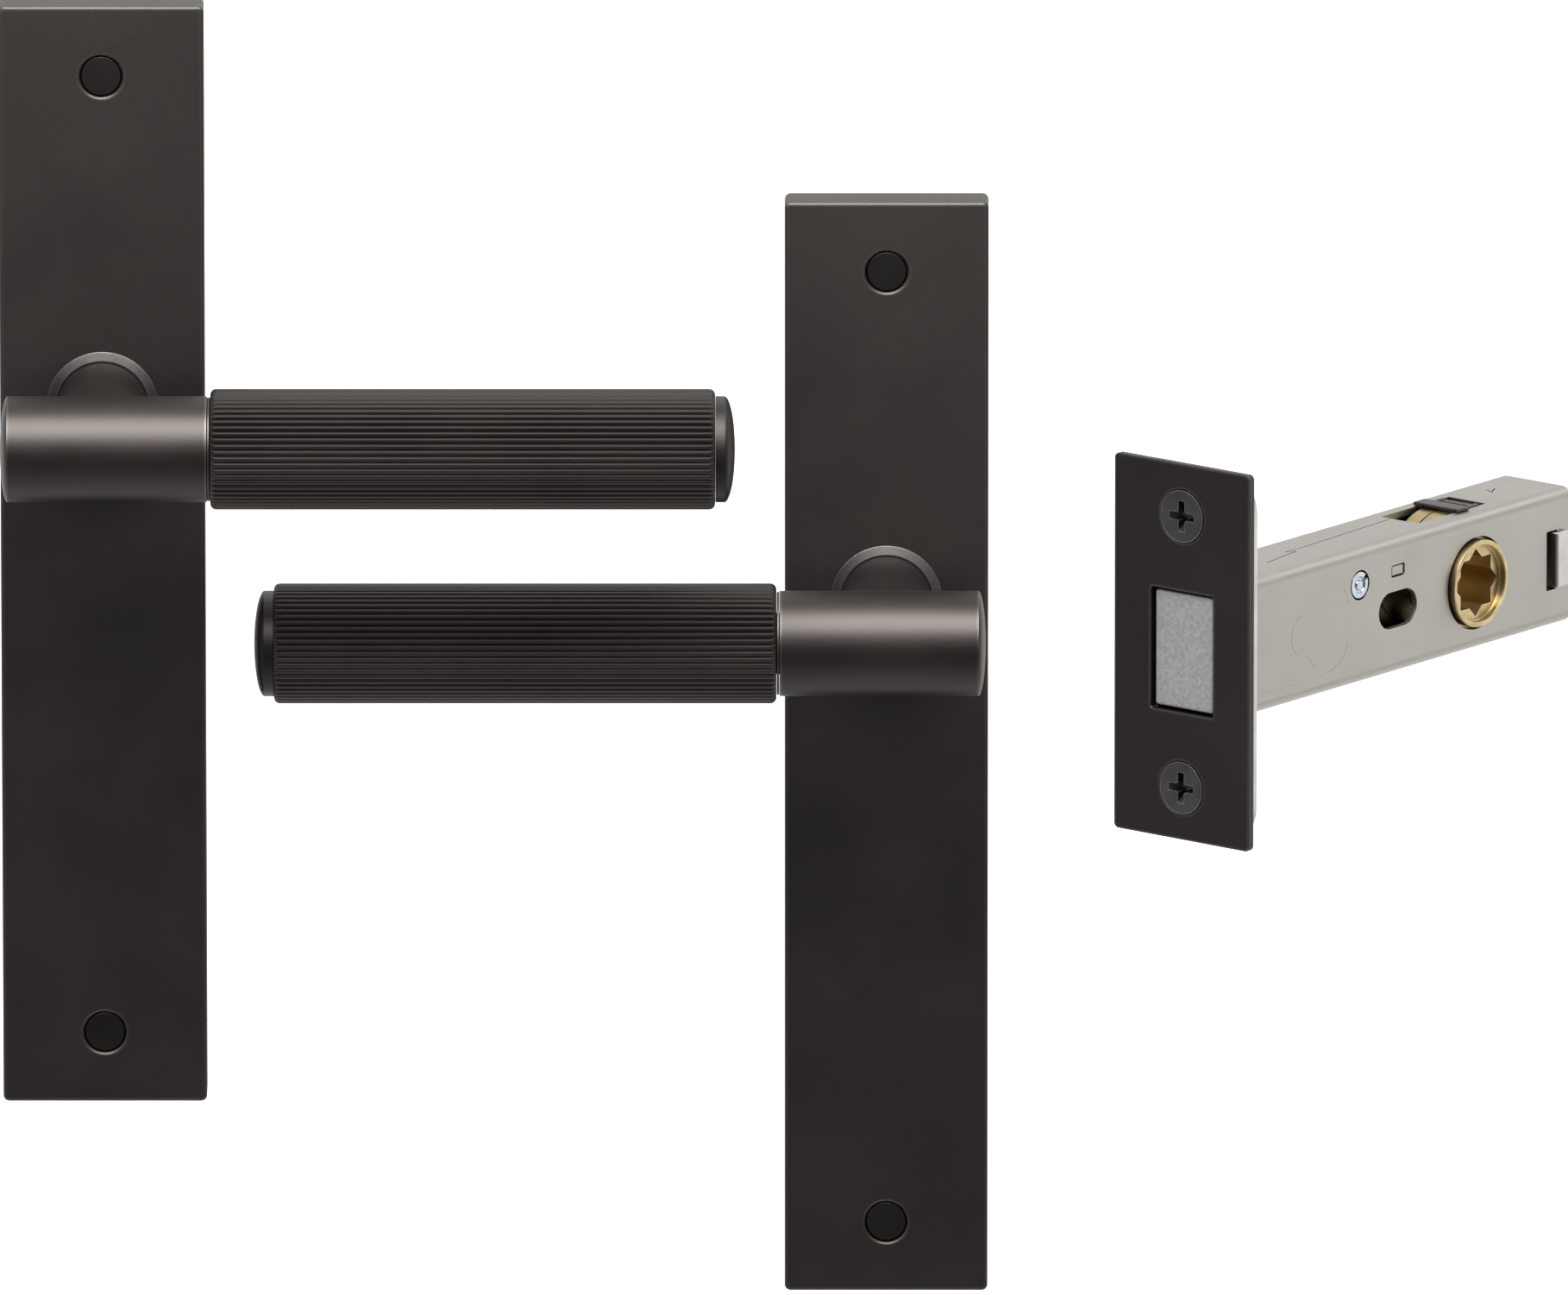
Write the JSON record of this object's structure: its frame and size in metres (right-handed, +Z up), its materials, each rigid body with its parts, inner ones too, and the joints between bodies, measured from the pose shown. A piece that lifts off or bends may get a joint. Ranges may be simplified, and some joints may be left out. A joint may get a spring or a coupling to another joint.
{
  "type": "lever door handle set",
  "caption": "Pair of lever door handles with reeded grips on long dark backplates, with a flush-bolt tubular mortice latch.",
  "frame": {"origin": "centre of the left backplate's back face, where it lies on the door", "axes": "+Y into the door, +X to the right as the user faces the door, +Z up"},
  "size_m": [0.2618, 0.1006, 0.2253],
  "materials": {
    "bronze": "dark bronze, satin",
    "grip_bronze": "dark bronze, reeded and rubbed on the ridges",
    "collar_bronze": "lighter bronze, satin",
    "black_plug": "dark bronze, matt",
    "zinc_steel": "zinc-plated sheet steel, satin",
    "stainless": "brushed",
    "spring_steel": "dark oiled spring steel",
    "brass": "machined brass",
    "blue_zinc": "blue zinc",
    "cast_bolt": "matt grey, fine grained",
    "nylon": "black nylon",
    "magnet": "nickel-plated magnet"
  },
  "bodies": {
    "fixed_set": {"left_backplate": "bronze", "left_neck_bush": "nylon", "left_collar_ring": "collar_bronze", "left_cassette_cover": "zinc_steel", "left_cover_screw_upper": "zinc_steel", "left_fixing_screw_upper": "zinc_steel", "left_screw_cap_upper": "black_plug", "left_cover_screw_lower": "zinc_steel", "left_fixing_screw_lower": "zinc_steel", "left_screw_cap_lower": "black_plug", "left_return_spring": "spring_steel", "right_backplate": "bronze", "right_neck_bush": "nylon", "right_collar_ring": "collar_bronze", "right_cassette_cover": "zinc_steel", "right_cover_screw_upper": "zinc_steel", "right_fixing_screw_upper": "zinc_steel", "right_screw_cap_upper": "black_plug", "right_cover_screw_lower": "zinc_steel", "right_fixing_screw_lower": "zinc_steel", "right_screw_cap_lower": "black_plug", "right_return_spring": "spring_steel", "face_plate": "bronze", "forend": "stainless", "face_screw_upper": "bronze", "face_screw_lower": "bronze", "case_body": "zinc_steel", "end_clip": "stainless", "guide_block": "nylon", "guide_pin": "blue_zinc", "tie_bar": "zinc_steel", "hub_saddle": "spring_steel", "bolt_spring": "spring_steel"},
    "left_lever": {"left_lever_body": "bronze", "left_grip_core": "zinc_steel", "left_joint_ring": "bronze", "left_grip_sleeve": "grip_bronze", "left_end_cap": "bronze", "left_grub_screw": "spring_steel", "left_spring_driver": "zinc_steel", "left_retaining_ring": "spring_steel", "spindle": "zinc_steel"},
    "right_lever": {"right_lever_body": "bronze", "right_grip_core": "zinc_steel", "right_joint_ring": "bronze", "right_grip_sleeve": "grip_bronze", "right_end_cap": "bronze", "right_grub_screw": "spring_steel", "right_spring_driver": "zinc_steel", "right_retaining_ring": "spring_steel"},
    "hub": {"hub_cam_left": "brass", "hub_cam_right": "brass"},
    "bolt": {"bolt": "cast_bolt", "bolt_magnet": "magnet", "bolt_link": "zinc_steel"}
  },
  "joints": [
    {"name": "left_lever_turn", "type": "hinge", "parent": "fixed_set", "child": "left_lever", "pos_m": [0, -0.017, 0.0255], "axis": [0, 1, 0], "range_deg": [0, 45], "stiffness_Nm_per_rad": 1.2, "springref_deg": -28.65, "deforming": ["left_return_spring"]},
    {"name": "right_lever_turn", "type": "hinge", "parent": "fixed_set", "child": "right_lever", "pos_m": [0.1303, 0.0051, -0.0128], "axis": [0, -1, 0], "range_deg": [0, 45], "stiffness_Nm_per_rad": 1.2, "springref_deg": -28.65, "deforming": ["right_return_spring"]},
    {"name": "hub_turn", "type": "hinge", "parent": "fixed_set", "child": "hub", "pos_m": [0.22221, -0.00343, -0.0044], "axis": [0.7815, -0.6239, 0], "range_deg": [-45, 45], "stiffness_Nm_per_rad": 0.05},
    {"name": "bolt_throw", "type": "slide", "parent": "fixed_set", "child": "bolt", "axis": [-0.6239, -0.7815, 0], "range_m": [0, 0.008], "stiffness_N_per_m": 120, "springref_m": -0.01, "deforming": ["bolt_spring"]}
  ]
}
